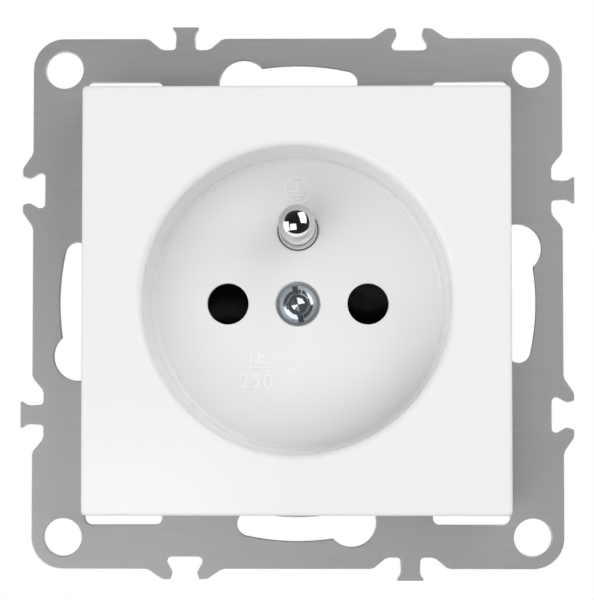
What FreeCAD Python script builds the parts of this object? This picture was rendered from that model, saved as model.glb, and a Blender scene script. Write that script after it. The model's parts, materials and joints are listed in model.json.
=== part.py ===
# Type E wall socket: a flush insert with a 55 mm centre plate on a stamped steel strap.
#
# X points to the right, Z up, and the front of the socket looks along -Y. The origin is the centre of the
# strap's back face, which lies on the wall. Depths are measured forward of the wall: a depth of 1.2 is the
# strap's front face, and a negative depth is inside the wall box. The sketch normal of XZ_Plane points
# forward too, so a depth is also the offset of a front sketch.
import FreeCAD, Part
import os
import math
import Sketcher

doc = FreeCAD.newDocument("WallSocket")

# Driving dimensions, in millimetres and degrees
DIMENSIONS = {
    "plate_side": 55.0,
    "plate_front": 10.7,
    "plate_corner": 0.6,
    "plate_edge": 0.5,
    "plate_top": 2.2,
    "plate_skirt": 1.9,
    "well_rim": 19.8,
    "well_floor": -4.3,
    "well_rim_bevel": 0.6,
    "well_floor_bevel": 0.5,
    "cup_wall": 1.5,
    "floor_wall": 1.8,
    "rib_width": 1.2,
    "rib_drop": 3.0,
    "pin_pitch": 19.0,
    "pin_hole": 2.8,
    "hole_bevel": 0.2,
    "earth_height": 10.0,
    "earth_radius": 2.4,
    "earth_hole": 2.8,
    "earth_collar": 2.65,
    "earth_collar_back": -9.3,
    "earth_length": 14.0,
    "earth_dome": 2.6,
    "earth_dome_height": 1.6,
    "earth_shank": 1.6,
    "tube_outer": 4.1,
    "tube_inner": 3.0,
    "tube_back": -11.3,
    "screw_seat": -7.6,
    "screw_head": 2.53,
    "screw_head_height": 1.9,
    "screw_head_bevel": 0.45,
    "screw_shank": 1.45,
    "screw_hole": 1.7,
    "screw_tip": -18.0,
    "screw_turn": -11.0,
    "nut_across": 5.5,
    "nut_height": 2.4,
    "nut_front": -13.2,
    "strap_side": 70.4,
    "strap_thick": 1.2,
    "strap_corner": 4.15,
    "strap_opening": 22.0,
    "hole_pitch": 62.1,
    "corner_hole": 2.5,
    "tab_offset": 14.9,
    "tab_reach": 1.55,
    "tab_head": 1.73,
    "tab_waist": 1.26,
    "tab_neck": 1.33,
    "tab_flare": 1.35,
    "tab_foot_round": 0.45,
    "notch_depth": 1.5,
    "notch_flat": 3.15,
    "slope_foot": 4.95,
    "slope_ease": 0.3,
    "horn_reach": 1.37,
    "horn_corner": 2.94,
    "recess_depth": 1.6,
    "recess_half": 2.32,
    "recess_round": 0.55,
    "recess_wall": 0.8,
    "mouth_half": 1.68,
    "mouth_flare": 0.22,
    "mouth_depth": 0.9,
    "slot_radius": 30.0,
    "slot_half": 1.6,
    "slot_end": 12.3,
    "lobe_angle": -13.8,
    "lobe_radius": 3.22,
    "window_inner": 17.9,
    "window_outer": 28.1,
    "window_bottom": 22.7,
    "window_top": 29.4,
    "window_corner": 0.9,
    "rivet_place": 18.25,
    "rivet_shank": 1.2,
    "rivet_head": 1.9,
    "rivet_head_height": 0.8,
    "rivet_tail": 1.6,
    "rivet_tail_height": 0.6,
    "flange_radius": 27.8,
    "flange_thick": 2.6,
    "housing_half": 23.6,
    "housing_back": -25.5,
    "housing_floor": -23.0,
    "housing_bevel": 1.2,
    "cavity_half": 21.9,
    "cover_half": 21.5,
    "cover_wall": 2.0,
    "tray_floor": -9.5,
    "cover_back": -11.3,
    "cover_screw_side": 8.25,
    "cover_screw_drop": 14.3,
    "cover_screw_shank": 1.1,
    "cover_screw_head": 2.1,
    "shutter_front": -6.4,
    "shutter_back": -9.2,
    "hub_inner": 4.4,
    "hub_outer": 5.9,
    "wing_outer": 13.2,
    "wing_half": 3.3,
    "wing_low": -8.9,
    "arm_reach": 8.7,
    "arm_half": 0.9,
    "stop_inner": 11.6,
    "stop_width": 1.6,
    "spring_thick": 0.3,
    "spring_top": 7.6,
    "spring_foot": 18.4,
    "spring_gap": 0.1,
    "anchor_top": 16.4,
    "anchor_post": 1.3,
    "contact_thick": 0.7,
    "contact_front": 12.0,
    "contact_back": 22.4,
    "bridge_thick": 1.0,
    "bridge_front": 11.4,
    "bridge_half": 2.8,
    "bridge_top": 23.4,
    "tail_inner": 15.6,
    "tail_thick": 0.8,
    "tail_half": 2.5,
    "cage_wall": 1.0,
    "cage_outer": 22.0,
    "cage_half": 3.7,
    "cage_front": 13.2,
    "cage_back": 20.2,
    "clamp_inner": 18.6,
    "clamp_thick": 1.0,
    "terminal_screw_shank": 1.45,
    "terminal_screw_head": 2.2,
    "terminal_screw_end": 23.8,
    "wire_hole": 1.7,
}

sheet = doc.addObject("Spreadsheet::Sheet", "Sizes")
for row, (alias, number) in enumerate(DIMENSIONS.items(), start=1):
    sheet.set("A%d" % row, alias)
    sheet.set("B%d" % row, str(number))
    sheet.setAlias("B%d" % row, alias)
doc.recompute()


class Size:
    """A number that also carries the sheet expression it comes from."""

    def __init__(self, number, text):
        self.number = float(number)
        self.text = text

    def __add__(self, other):
        other = as_size(other)
        return Size(self.number + other.number, "(%s + %s)" % (self.text, other.text))

    def __sub__(self, other):
        other = as_size(other)
        return Size(self.number - other.number, "(%s - %s)" % (self.text, other.text))

    def __mul__(self, other):
        other = as_size(other)
        return Size(self.number * other.number, "(%s * %s)" % (self.text, other.text))

    def __truediv__(self, other):
        other = as_size(other)
        return Size(self.number / other.number, "(%s / %s)" % (self.text, other.text))

    def __neg__(self):
        return Size(-self.number, "(0 - %s)" % self.text)

    __radd__ = __add__
    __rmul__ = __mul__


def as_size(value):
    """Turn a plain number into a Size, and leave a Size as it is."""
    if isinstance(value, Size):
        return value
    return Size(value, "(%r)" % float(value) if value >= 0 else "(0 - %r)" % -float(value))


def sine(angle):
    """The sine of an angle in degrees, as a Size."""
    return Size(math.sin(math.radians(angle.number)), "sin(%s)" % angle.text)


def cosine(angle):
    """The cosine of an angle in degrees, as a Size."""
    return Size(math.cos(math.radians(angle.number)), "cos(%s)" % angle.text)


class Sheet:
    """Reads the spreadsheet: size.plate_side is the cell with the alias plate_side."""

    def __getattr__(self, alias):
        return Size(sheet.get(alias), "Sizes." + alias)


size = Sheet()
ZERO = as_size(0)
AXIS_Y = FreeCAD.Vector(0, 1, 0)


# Bodies, sketches and features

def new_body(label):
    """An empty body whose label names its file."""
    body = doc.addObject("PartDesign::Body", label)
    body.Label = label
    return body


def place(body, across=ZERO, depth=ZERO, up=ZERO, turn=0.0):
    """Put a body at a place given from the centre of the strap, turned about the depth axis."""
    body.Placement = FreeCAD.Placement(FreeCAD.Vector(0, 0, 0), FreeCAD.Rotation(AXIS_Y, turn))
    body.setExpression("Placement.Base.x", as_size(across).text)
    body.setExpression("Placement.Base.y", (-as_size(depth)).text)
    body.setExpression("Placement.Base.z", as_size(up).text)


def sketch_on(body, role, offset, name):
    """A sketch on one of the body's own origin planes, moved along its normal."""
    sketch = body.newObject("Sketcher::SketchObject", name)
    plane = next(item for item in body.Origin.OriginFeatures if item.Role == role)
    sketch.AttachmentSupport = [(plane, "")]
    sketch.MapMode = "FlatFace"
    sketch.setExpression("AttachmentOffset.Base.z", as_size(offset).text)
    return sketch


def front_sketch(body, name, depth=ZERO):
    """A sketch seen from the front, at a depth forward of the wall."""
    return sketch_on(body, "XZ_Plane", depth, name)


def top_sketch(body, name, height=ZERO):
    """A sketch seen from above: its upright axis is Y, so it is also the section of a turned piece."""
    return sketch_on(body, "XY_Plane", height, name)


def side_sketch(body, name, across=ZERO):
    """A sketch seen from the right: its axes are Y and Z."""
    return sketch_on(body, "YZ_Plane", across, name)


def bind(sketch, kind, *where, value):
    """Add one dimension to a sketch and bind it to its sheet expression."""
    value = as_size(value)
    index = sketch.addConstraint(Sketcher.Constraint(kind, *where, value.number))
    sketch.setExpression("Constraints[%d]" % index, value.text)


def bind_point(sketch, geometry, position, point):
    """Hold a point of the sketch at its two coordinates."""
    bind(sketch, "DistanceX", -1, 1, geometry, position, value=point[0])
    bind(sketch, "DistanceY", -1, 1, geometry, position, value=point[1])


def vector(point):
    return FreeCAD.Vector(as_size(point[0]).number, as_size(point[1]).number, 0)


def chain(sketch, points):
    """Straight edges from the first point to the last, left open."""
    edges = [
        sketch.addGeometry(Part.LineSegment(vector(start), vector(end)))
        for start, end in zip(points, points[1:])
    ]
    for edge, after in zip(edges, edges[1:]):
        sketch.addConstraint(Sketcher.Constraint("Coincident", edge, 2, after, 1))
    for edge, point in zip(edges, points):
        bind_point(sketch, edge, 1, point)
    bind_point(sketch, edges[-1], 2, points[-1])
    return edges


def outline(sketch, points):
    """A closed outline of straight edges through the points."""
    following = points[1:] + points[:1]
    edges = [
        sketch.addGeometry(Part.LineSegment(vector(start), vector(end)))
        for start, end in zip(points, following)
    ]
    for edge, after in zip(edges, edges[1:] + edges[:1]):
        sketch.addConstraint(Sketcher.Constraint("Coincident", edge, 2, after, 1))
    for edge, point in zip(edges, points):
        bind_point(sketch, edge, 1, point)


def rectangle(sketch, left, bottom, right, top):
    """A rectangle from its two opposite corners."""
    outline(sketch, [(left, bottom), (right, bottom), (right, top), (left, top)])


def quarter(across, up, radius, side):
    """Points of a quarter circle in a corner, from its upright side to its floor. Side is 1 or -1: the way
    from the corner to the middle of the circle."""
    points = []
    for turn in (0, 30, 60, 90):
        angle = math.radians(turn)
        inward = radius * (side * (1 - math.cos(angle)))
        upward = radius * (1 - math.sin(angle))
        points.append((across + inward, up + upward))
    return points


def circle(sketch, radius, across=ZERO, up=ZERO):
    """A circle of the given radius round a point."""
    curve = Part.Circle(vector((across, up)), FreeCAD.Vector(0, 0, 1), as_size(radius).number)
    edge = sketch.addGeometry(curve)
    bind_point(sketch, edge, 3, (across, up))
    bind(sketch, "Radius", edge, value=radius)


def feature(body, kind, sketch, name):
    made = body.newObject("PartDesign::" + kind, name)
    made.Profile = sketch
    return made


def pad(body, sketch, length, backward=False):
    """Add material forward of a front sketch, or backward."""
    made = feature(body, "Pad", sketch, sketch.Name + "Pad")
    made.setExpression("Length", as_size(length).text)
    made.Reversed = backward
    return made


def pad_both_ways(body, sketch, length):
    """Add material on both sides of the sketch, half the length each way."""
    made = pad(body, sketch, length)
    made.Midplane = True
    return made


def pocket(body, sketch, depth, forward=False):
    """Cut backward from a front sketch, or forward. The cut must take material away."""
    before = body.Tip
    made = feature(body, "Pocket", sketch, sketch.Name + "Pocket")
    made.setExpression("Length", as_size(depth).text)
    made.Reversed = forward
    doc.recompute()
    if made.Shape.Volume > before.Shape.Volume - 0.001:
        raise RuntimeError("%s cuts nothing" % made.Label)
    return made


def turned(body, sketch, axis="V_Axis"):
    """Turn a half section all the way round an axis of its sketch."""
    made = feature(body, "Revolution", sketch, sketch.Name + "Turned")
    made.ReferenceAxis = (sketch, [axis])
    made.Angle = 360
    return made


def repeat(body, originals, sketch, count):
    """Repeat features evenly round the sketch's normal through its origin."""
    made = body.newObject("PartDesign::PolarPattern", sketch.Name + "Round")
    made.Originals = originals
    made.Axis = (sketch, ["N_Axis"])
    made.Angle = 360
    made.Occurrences = count
    body.Tip = made
    return made


def round_edges(body, radius, chosen, kind="Fillet"):
    """Round or chamfer the edges of the body that the test picks."""
    doc.recompute()
    base = body.Tip
    names = ["Edge%d" % number for number, edge in enumerate(base.Shape.Edges, start=1) if chosen(edge)]
    if not names:
        raise RuntimeError("no edge of %s to round" % body.Label)
    made = body.newObject("PartDesign::" + kind, body.Name + kind)
    made.Base = (base, names)
    made.setExpression("Radius" if kind == "Fillet" else "Size", as_size(radius).text)
    return made


def near(first, second):
    return abs(first - second) < 0.01


def lies_at_depth(edge, depth):
    """Whether the whole edge lies at one depth forward of the wall."""
    box = edge.BoundBox
    return near(box.YMin, -depth.number) and near(box.YMax, -depth.number)


def circle_at(edge, radius, depth):
    """Whether the edge is a circle of this radius at this depth."""
    return (
        lies_at_depth(edge, depth)
        and isinstance(edge.Curve, Part.Circle)
        and near(edge.Curve.Radius, radius.number)
    )


# Support strap: one stamped blank. Each side carries, clockwise, a male tab in a notch and a female recess
# between two horns, so that straps screwed side by side lock at the 71 mm pitch of a row of sockets.

def build_support_strap():
    body = new_body("support_strap")
    half = size.strap_side / 2
    front = size.strap_thick

    blank = front_sketch(body, "StrapBlank")
    rectangle(blank, -half, -half, half, half)
    pad(body, blank, size.strap_thick)
    doc.recompute()
    round_edges(body, size.strap_corner, lambda edge: near(edge.BoundBox.YLength, size.strap_thick.number))

    # The shapes below are drawn on the top side, and the pattern takes them to the other three
    male = -size.tab_offset
    notch = front_sketch(body, "StrapNotch", front)
    floor = half - size.notch_depth
    ease = size.slope_ease
    outline(notch, [
        (male - size.slope_foot - ease, half + 1),
        (male - size.slope_foot - ease, half),
        (male - size.slope_foot + ease * 0.8, half - ease * 0.65),
        (male - size.notch_flat - ease * 0.8, floor + ease * 0.65),
        (male - size.notch_flat + ease, floor),
        (male + size.notch_flat - ease, floor),
        (male + size.notch_flat + ease * 0.8, floor + ease * 0.65),
        (male + size.slope_foot - ease * 0.8, half - ease * 0.65),
        (male + size.slope_foot + ease, half),
        (male + size.slope_foot + ease, half + 1),
    ])
    notch_cut = pocket(body, notch, size.strap_thick)

    tab = front_sketch(body, "StrapTab")
    tip = half + size.tab_reach
    swell = size.tab_head - size.tab_waist
    flank = [
        (size.tab_waist, tip - size.tab_flare),
        (size.tab_waist + swell * 0.15, tip - size.tab_flare * 0.67),
        (size.tab_waist + swell * 0.5, tip - size.tab_flare * 0.41),
        (size.tab_head, tip - size.tab_flare * 0.19),
        (size.tab_head, tip - size.tab_flare * 0.06),
        (size.tab_head - 0.08, tip),
    ]
    right_foot = quarter(male + size.tab_neck, floor, size.tab_foot_round, 1)
    left_foot = quarter(male - size.tab_neck, floor, size.tab_foot_round, -1)
    outline(tab, (
        left_foot[3:]
        + [(left_foot[3][0], floor - 0.7), (right_foot[3][0], floor - 0.7)]
        + right_foot[::-1]
        + [(male + reach, height) for reach, height in flank]
        + [(male - reach, height) for reach, height in flank[::-1]]
        + left_foot[:3]
    ))
    tab_pad = pad(body, tab, size.strap_thick)

    female = size.tab_offset
    horns = front_sketch(body, "StrapHorns")
    horn_tip = half + size.horn_reach
    outline(horns, [
        (female - size.slope_foot - ease, half - 0.5),
        (female + size.slope_foot + ease, half - 0.5),
        (female + size.slope_foot + ease, half),
        (female + size.slope_foot - ease * 0.8, half + ease * 0.55),
        (female + size.horn_corner + ease * 0.5, horn_tip - ease * 0.34),
        (female + size.horn_corner - ease * 0.6, horn_tip),
        (female - size.horn_corner + ease * 0.6, horn_tip),
        (female - size.horn_corner - ease * 0.5, horn_tip - ease * 0.34),
        (female - size.slope_foot + ease * 0.8, half + ease * 0.55),
        (female - size.slope_foot - ease, half),
    ])
    horns_pad = pad(body, horns, size.strap_thick)

    recess = front_sketch(body, "StrapRecess", front)
    recess_floor = half - size.recess_depth
    lip = horn_tip - size.mouth_depth
    mouth = [
        (size.recess_half, recess_floor + size.recess_wall),
        (size.mouth_half + 0.07, lip - 0.25),
        (size.mouth_half, lip),
        (size.mouth_half + 0.02, lip + 0.25),
        (size.mouth_half + size.mouth_flare, horn_tip),
        (size.mouth_half + size.mouth_flare, horn_tip + 1),
    ]
    outline(recess, (
        quarter(female - size.recess_half, recess_floor, size.recess_round, 1)
        + quarter(female + size.recess_half, recess_floor, size.recess_round, -1)[::-1]
        + [(female + reach, height) for reach, height in mouth]
        + [(female - reach, height) for reach, height in mouth[::-1]]
    ))
    recess_cut = pocket(body, recess, size.strap_thick)

    # Keyhole slot for a box screw: an arc round the centre with a wide lobe at one end
    slot = front_sketch(body, "StrapSlot", front)
    arc_slot(slot, size.slot_radius, size.slot_half, size.lobe_angle, size.slot_end)
    slot_cut = pocket(body, slot, size.strap_thick)
    lobe = front_sketch(body, "StrapLobe", front)
    circle(
        lobe, size.lobe_radius,
        size.slot_radius * sine(size.lobe_angle), size.slot_radius * cosine(size.lobe_angle),
    )
    lobe_cut = pocket(body, lobe, size.strap_thick)

    corner = front_sketch(body, "StrapCornerHole", front)
    circle(corner, size.corner_hole, size.hole_pitch / 2, size.hole_pitch / 2)
    corner_cut = pocket(body, corner, size.strap_thick)
    originals = [notch_cut, tab_pad, horns_pad, recess_cut, slot_cut, lobe_cut, corner_cut]
    repeat(body, originals, slot, 4)

    # Windows beside the slots, above and below only
    windows = front_sketch(body, "StrapWindows", front)
    rectangle(windows, size.window_inner, size.window_bottom, size.window_outer, size.window_top)
    rectangle(windows, -size.window_outer, size.window_bottom, -size.window_inner, size.window_top)
    windows_cut = pocket(body, windows, size.strap_thick)
    repeat(body, [windows_cut], windows, 2)
    round_edges(body, size.window_corner, is_window_corner)

    opening = front_sketch(body, "StrapOpening", front)
    circle(opening, size.strap_opening)
    rivet_circles(opening)
    pocket(body, opening, size.strap_thick)
    return body


def is_window_corner(edge):
    """Whether the edge is one of the upright corners of the four windows."""
    box = edge.BoundBox
    across = abs(box.Center.x)
    up = abs(box.Center.z)
    at_side = near(across, size.window_inner.number) or near(across, size.window_outer.number)
    at_end = near(up, size.window_bottom.number) or near(up, size.window_top.number)
    return at_side and at_end and near(box.YLength, size.strap_thick.number)


def arc_slot(sketch, radius, half_width, first, last):
    """A slot of even width along an arc round the origin. Angles run clockwise from the upright."""
    def point(angle):
        return (radius * sine(angle), radius * cosine(angle))

    def arc(centre, size_of, start, end):
        start_angle = math.radians(start)
        end_angle = math.radians(end)
        curve = Part.Circle(vector(centre), FreeCAD.Vector(0, 0, 1), as_size(size_of).number)
        return sketch.addGeometry(Part.ArcOfCircle(curve, start_angle, end_angle))

    from_x = 90 - last.number
    to_x = 90 - first.number
    outer = arc((ZERO, ZERO), radius + half_width, from_x, to_x)
    inner = arc((ZERO, ZERO), radius - half_width, from_x, to_x)
    right = arc(point(last), half_width, from_x - 180, from_x)
    left = arc(point(first), half_width, to_x, to_x + 180)
    for edge in (outer, inner):
        sketch.addConstraint(Sketcher.Constraint("Coincident", edge, 3, -1, 1))
    bind(sketch, "Radius", outer, value=radius + half_width)
    bind(sketch, "Radius", inner, value=radius - half_width)
    sketch.addConstraint(Sketcher.Constraint("Tangent", right, 2, outer, 1))
    sketch.addConstraint(Sketcher.Constraint("Tangent", right, 1, inner, 1))
    sketch.addConstraint(Sketcher.Constraint("Tangent", left, 1, outer, 2))
    sketch.addConstraint(Sketcher.Constraint("Tangent", left, 2, inner, 2))
    bind(sketch, "DistanceX", -1, 1, right, 3, value=point(last)[0])
    bind(sketch, "DistanceX", -1, 1, left, 3, value=point(first)[0])


# Front plate: the square centre plate, its skirt and the round recess are one moulding

def build_front_plate():
    body = new_body("front_plate")
    half = size.plate_side / 2
    front = size.plate_front
    rest = size.strap_thick
    floor_back = size.well_floor - size.floor_wall

    block = front_sketch(body, "PlateBlock", rest)
    rectangle(block, -half, -half, half, half)
    pad(body, block, front - rest)
    doc.recompute()
    round_edges(body, size.plate_corner, lambda edge: edge.BoundBox.YLength > 5)
    round_edges(body, size.plate_edge, lambda edge: lies_at_depth(edge, front))

    hollow = front_sketch(body, "PlateHollow", rest)
    inside = half - size.plate_skirt
    rectangle(hollow, -inside, -inside, inside, inside)
    pocket(body, hollow, front - rest - size.plate_top, forward=True)

    # Stiffening ribs under the plate, from the cup to the skirt
    ribs = front_sketch(body, "PlateRibs", front - size.plate_top)
    rectangle(ribs, -size.rib_width / 2, size.well_rim, size.rib_width / 2, inside + 0.5)
    rib = pad(body, ribs, size.rib_drop, backward=True)
    repeat(body, [rib], ribs, 4)

    cup = front_sketch(body, "PlateCup", front - 1)
    circle(cup, size.well_rim + size.cup_wall)
    pad(body, cup, front - 1 - floor_back, backward=True)
    tube = front_sketch(body, "PlateTube", floor_back + 0.5)
    circle(tube, size.tube_outer)
    pad(body, tube, floor_back + 0.5 - size.tube_back, backward=True)

    well = front_sketch(body, "PlateWell", front)
    circle(well, size.well_rim)
    pocket(body, well, front - size.well_floor)
    round_edges(body, size.well_rim_bevel, lambda edge: circle_at(edge, size.well_rim, front), "Chamfer")
    round_edges(
        body, size.well_floor_bevel,
        lambda edge: circle_at(edge, size.well_rim, size.well_floor), "Chamfer",
    )

    screw_way = front_sketch(body, "PlateScrewWay", size.well_floor)
    circle(screw_way, size.tube_inner)
    pocket(body, screw_way, size.well_floor - size.screw_seat)
    screw_hole = front_sketch(body, "PlateScrewHole", size.screw_seat)
    circle(screw_hole, size.screw_hole)
    pocket(body, screw_hole, size.screw_seat - size.tube_back)

    pins = front_sketch(body, "PlatePinHoles", size.well_floor)
    circle(pins, size.pin_hole, size.pin_pitch / 2, ZERO)
    circle(pins, size.pin_hole, -size.pin_pitch / 2, ZERO)
    circle(pins, size.earth_hole, ZERO, size.earth_height)
    pocket(body, pins, size.floor_wall)
    round_edges(
        body, size.hole_bevel,
        lambda edge: circle_at(edge, size.pin_hole, size.well_floor)
        or circle_at(edge, size.tube_inner, size.well_floor),
        "Chamfer",
    )
    return body


# Contact cover: an eight-sided black tray behind the recess. The shutter turns in it round the plate's tube.

def build_contact_cover():
    body = new_body("contact_cover")
    front = size.well_floor - size.floor_wall
    disc = front_sketch(body, "CoverDisc", front)
    polygon(disc, 8, size.cover_half * 2)
    pad(body, disc, front - size.cover_back, backward=True)
    tray = front_sketch(body, "CoverTray", front)
    polygon(tray, 8, (size.cover_half - size.cover_wall) * 2)
    pocket(body, tray, front - size.tray_floor)

    # Stops that the wings rest against, and the two posts that hold the leaf spring
    stops = front_sketch(body, "CoverStops", size.tray_floor)
    stop_outer = size.cover_half - size.cover_wall + 0.5
    rest_edge = size.wing_half + 0.4
    rectangle(stops, size.stop_inner, -rest_edge - size.stop_width, stop_outer, -rest_edge)
    stop = pad(body, stops, front - size.tray_floor)
    repeat(body, [stop], stops, 2)
    anchor = front_sketch(body, "CoverAnchor", size.tray_floor)
    spring_side = size.arm_half + size.spring_gap
    for left, right in (
        (spring_side - size.anchor_post, spring_side),
        (spring_side + size.spring_thick, spring_side + size.spring_thick + size.anchor_post),
    ):
        rectangle(anchor, left, -stop_outer + 0.3, right, -size.anchor_top)
    pad(body, anchor, front - 0.4 - size.tray_floor)

    holes = front_sketch(body, "CoverHoles", size.tray_floor)
    circle(holes, size.pin_hole, size.pin_pitch / 2, ZERO)
    circle(holes, size.pin_hole, -size.pin_pitch / 2, ZERO)
    circle(holes, size.earth_radius + 0.05, ZERO, size.earth_height)
    circle(holes, size.tube_outer + 0.1)
    for side in (size.cover_screw_side, -size.cover_screw_side):
        circle(holes, size.cover_screw_shank + 0.1, side, -size.cover_screw_drop)
    pocket(body, holes, size.tray_floor - size.cover_back)
    return body


# Safety shutter: a rotor with two ramped wings in front of the contacts. Two pins pushed in together press
# on both ramps and turn it, and one pin alone jams it.

def build_safety_shutter():
    body = new_body("safety_shutter")
    front = size.shutter_front
    back = size.shutter_back
    # The wing's section, seen from the right: its front face is the ramp
    wing = side_sketch(body, "ShutterWing", size.hub_outer - 0.8)
    outline(wing, [
        (-back, -size.wing_half),
        (-back, size.wing_half),
        (-front, size.wing_half),
        (-front, size.wing_half - 1.2),
        (-size.wing_low, -size.wing_half),
    ])
    wing_pad = pad(body, wing, size.wing_outer - size.hub_outer + 0.8)
    axis = front_sketch(body, "ShutterAxis", back)
    circle(axis, size.hub_outer)
    repeat(body, [wing_pad], axis, 2)
    pad(body, axis, front - back)
    arm = front_sketch(body, "ShutterArm", back)
    rectangle(arm, -size.arm_half, -size.arm_reach, size.arm_half, -size.hub_outer + 0.8)
    pad(body, arm, front - back)
    bore = front_sketch(body, "ShutterBore", front)
    circle(bore, size.hub_inner)
    pocket(body, bore, front - back)
    # The wing tips follow the wall of the tray
    tips = front_sketch(body, "ShutterTips", front)
    circle(tips, size.wing_outer + 4)
    circle(tips, size.wing_outer)
    pocket(body, tips, front - back)
    return body


def build_shutter_spring():
    """A leaf held between two posts of the tray, which bears on the shutter's arm and bends as it turns."""
    body = new_body("shutter_spring")
    side = size.arm_half + size.spring_gap
    front = size.shutter_front - 0.3
    leaf = front_sketch(body, "SpringLeaf", front)
    outline(leaf, [
        (side, -size.spring_foot),
        (side + size.spring_thick, -size.spring_foot),
        (side + size.spring_thick, -size.spring_top - 0.6),
        (side + size.spring_thick + 0.5, -size.spring_top),
        (side + 0.5, -size.spring_top),
        (side, -size.spring_top - 0.6),
    ])
    pad(body, leaf, front - size.shutter_back, backward=True)
    return body


# Base housing: the black eight-sided moulding that goes into the wall box, with a flange behind the strap

def build_base_housing():
    body = new_body("base_housing")
    flange = front_sketch(body, "HousingFlange", ZERO)
    circle(flange, size.flange_radius)
    pad(body, flange, size.flange_thick, backward=True)
    barrel = front_sketch(body, "HousingBarrel", -size.flange_thick + 0.5)
    polygon(barrel, 8, size.housing_half * 2)
    pad(body, barrel, -size.flange_thick + 0.5 - size.housing_back, backward=True)
    round_edges(body, size.housing_bevel, lambda edge: lies_at_depth(edge, size.housing_back), "Chamfer")
    cavity = front_sketch(body, "HousingCavity", ZERO)
    polygon(cavity, 8, size.cavity_half * 2)
    pocket(body, cavity, -size.cover_back)

    # Chambers for the line and neutral contacts, open to the front and closed by the contact cover
    deep = size.cover_back - size.housing_floor
    chambers = front_sketch(body, "HousingChambers", size.cover_back)
    inner = size.pin_pitch / 2 - 4.2
    outer = size.cage_outer + 0.4
    for side in (1, -1):
        left, right = (inner, outer) if side > 0 else (-outer, -inner)
        rectangle(chambers, left, -size.cage_half - 0.3, right, size.cage_half + 0.3)
    pocket(body, chambers, deep)
    earth = front_sketch(body, "HousingEarthChamber", size.cover_back)
    rectangle(earth, -size.cage_half - 0.3, size.tail_inner - 2, size.cage_half + 0.3, outer)
    pocket(body, earth, deep)
    trough = front_sketch(body, "HousingBridgeTrough", size.cover_back)
    rectangle(trough, -size.bridge_half - 0.2, as_size(6.6), size.bridge_half + 0.2, size.tail_inner)
    pocket(body, trough, as_size(2.4))
    slot = front_sketch(body, "HousingEarthSlot", ZERO)
    rectangle(slot, -size.bridge_half - 0.2, as_size(20.5), size.bridge_half + 0.2, size.bridge_top + 0.2)
    pocket(body, slot, size.bridge_front + size.bridge_thick + 0.2)

    # Wire holes in the back, a pair for each terminal
    wires = front_sketch(body, "HousingWireHoles", size.housing_back)
    along = size.clamp_inner - size.wire_hole
    for side in (1, -1):
        apart = (size.wire_hole + 0.4) * side
        circle(wires, size.wire_hole, along, apart)
        circle(wires, size.wire_hole, -along, apart)
        circle(wires, size.wire_hole, apart, along)
    pocket(body, wires, size.housing_floor - size.housing_back, forward=True)

    # Ways in to the heads of the terminal screws, from the two sides and the top
    middle = (size.cage_front + size.cage_back) / 2
    way = size.terminal_screw_head + 0.3
    way_depth = size.housing_half - size.cage_outer
    right = side_sketch(body, "HousingScrewWayRight", size.housing_half)
    circle(right, way, middle, ZERO)
    pocket(body, right, way_depth)
    left = side_sketch(body, "HousingScrewWayLeft", -size.housing_half)
    circle(left, way, middle, ZERO)
    pocket(body, left, way_depth, forward=True)
    top = top_sketch(body, "HousingScrewWayTop", size.housing_half)
    circle(top, way, ZERO, middle)
    pocket(body, top, way_depth)

    nut_way = front_sketch(body, "HousingNutWay", size.cover_back)
    polygon(nut_way, 6, size.nut_across + 0.1)
    pocket(body, nut_way, size.cover_back - size.nut_front + size.nut_height)
    screws = front_sketch(body, "HousingScrewHoles", size.cover_back)
    circle(screws, size.screw_hole)
    pocket(body, screws, size.cover_back - size.screw_tip + 1)
    pilots = front_sketch(body, "HousingPilotHoles", size.cover_back)
    for side in (size.cover_screw_side, -size.cover_screw_side):
        circle(pilots, size.cover_screw_shank + 0.02, side, -size.cover_screw_drop)
    pocket(body, pilots, as_size(7.0))
    rivets = front_sketch(body, "HousingRivetHoles", ZERO)
    rivet_circles(rivets)
    pocket(body, rivets, size.flange_thick)
    return body


def polygon(sketch, sides, across_flats):
    """A regular polygon round the origin with an even number of sides, one of them upright on the right."""
    half_turn = math.pi / sides
    corner = as_size(across_flats) / (2 * math.cos(half_turn))
    points = []
    for step in range(sides):
        angle = half_turn * (1 + 2 * step)
        points.append((corner * math.cos(angle), corner * math.sin(angle)))
    outline(sketch, points)


def rivet_circles(sketch):
    """The two holes for the rivets, at opposite corners of the plate."""
    for side in (1, -1):
        circle(sketch, size.rivet_shank, size.rivet_place * side, size.rivet_place * side)


# Metal pieces that carry the current

def build_contact(label, turn):
    """A sprung clip round a pin and a tail into the clamp cage, bent from one strip. Drawn for the right."""
    body = new_body(label)
    thick = size.contact_thick
    axis = size.pin_pitch / 2
    front = size.contact_front
    back = size.contact_back
    grip = front + 2.4
    mouth = size.earth_radius + 0.7
    squeeze = size.earth_radius - 0.1
    wide = size.earth_radius + 0.2
    tail = size.tail_inner
    strip = top_sketch(body, label + "Strip")
    outline(strip, [
        (axis - mouth, front),
        (axis - squeeze, grip),
        (axis - wide, grip + 2),
        (axis - wide, back - thick),
        (axis + wide, back - thick),
        (axis + wide, grip + 2),
        (axis + squeeze, grip),
        (axis + mouth, front),
        (axis + mouth + thick, front),
        (axis + squeeze + thick, grip),
        (axis + wide + thick, grip + 2),
        (axis + wide + thick, back - thick),
        (tail, back - thick),
        (tail, size.cage_front + 0.5),
        (tail + size.tail_thick, size.cage_front + 0.5),
        (tail + size.tail_thick, back),
        (axis - wide - thick, back),
        (axis - wide - thick, grip + 2),
        (axis - squeeze - thick, grip),
        (axis - mouth - thick, front),
    ])
    pad_both_ways(body, strip, size.tail_half * 2)
    place(body, turn=turn)
    return body


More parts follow.
